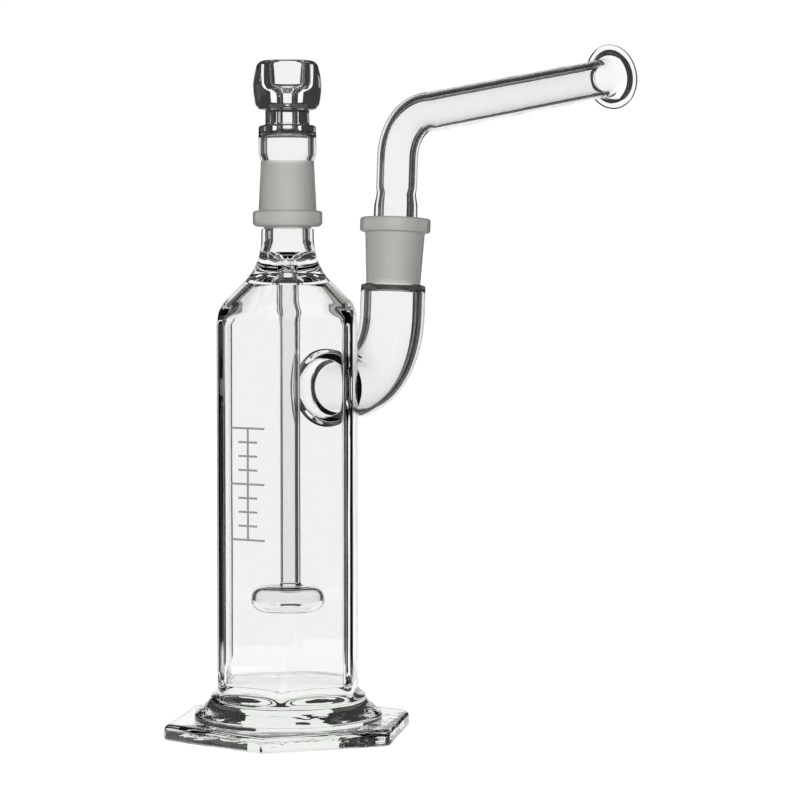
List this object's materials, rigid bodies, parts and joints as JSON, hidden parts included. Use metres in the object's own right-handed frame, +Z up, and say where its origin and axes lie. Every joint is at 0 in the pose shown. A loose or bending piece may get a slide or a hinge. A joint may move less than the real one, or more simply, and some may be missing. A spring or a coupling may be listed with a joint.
{
  "type": "glass bubbler",
  "caption": "Clear glass bubbler: hexagonal water chamber on a hexagonal foot, pull-off bowl on a ground joint, side joint with a turning mouthpiece.",
  "frame": {"origin": "centre of the foot's underside, on the chamber's axis", "axes": "+Z up along the chamber, +X towards the side joint, which leans 3.5 degrees outwards"},
  "size_m": [0.2722, 0.1036, 0.2882],
  "materials": {
    "clear_glass": "clear polished borosilicate",
    "thick_glass": "clear polished, faintly green through its thickness",
    "ground_glass": "fine ground, matt",
    "enamel": "matt fired enamel"
  },
  "bodies": {
    "chamber": {"foot_plate": "thick_glass", "foot_flare": "thick_glass", "foot_bead": "thick_glass", "chamber_floor": "clear_glass", "chamber_tube": "clear_glass", "chamber_shoulder": "clear_glass", "neck_tube": "clear_glass", "neck_cone": "ground_glass", "ring_seal": "clear_glass", "downstem": "clear_glass", "diffuser_disc": "clear_glass", "level_scale": "enamel", "arm_weld": "clear_glass", "side_elbow": "clear_glass", "side_riser": "clear_glass", "side_socket": "ground_glass", "side_socket_rim": "ground_glass"},
    "bowl": {"bowl_socket_rim": "ground_glass", "bowl_socket": "ground_glass", "bowl_dome": "clear_glass", "bowl_neck": "clear_glass", "bowl_cup": "clear_glass"},
    "mouth_joint": {"mouth_cone": "ground_glass", "mouth_shank": "clear_glass"},
    "mouthpiece": {"mouth_bend": "clear_glass", "mouth_arm": "clear_glass", "mouth_lip": "clear_glass"}
  },
  "joints": [
    {"name": "bowl_lift", "type": "slide", "parent": "chamber", "child": "bowl", "axis": [0, 0, 1], "range_m": [0, 0.04]},
    {"name": "mouth_lift", "type": "slide", "parent": "chamber", "child": "mouth_joint", "axis": [0.061, 0, 0.9981], "range_m": [0, 0.04]},
    {"name": "mouth_turn", "type": "hinge", "parent": "mouth_joint", "child": "mouthpiece", "pos_m": [0.07882, 0, 0.2207], "axis": [0.061, 0, 0.9981], "range_deg": [-146, 166]}
  ]
}
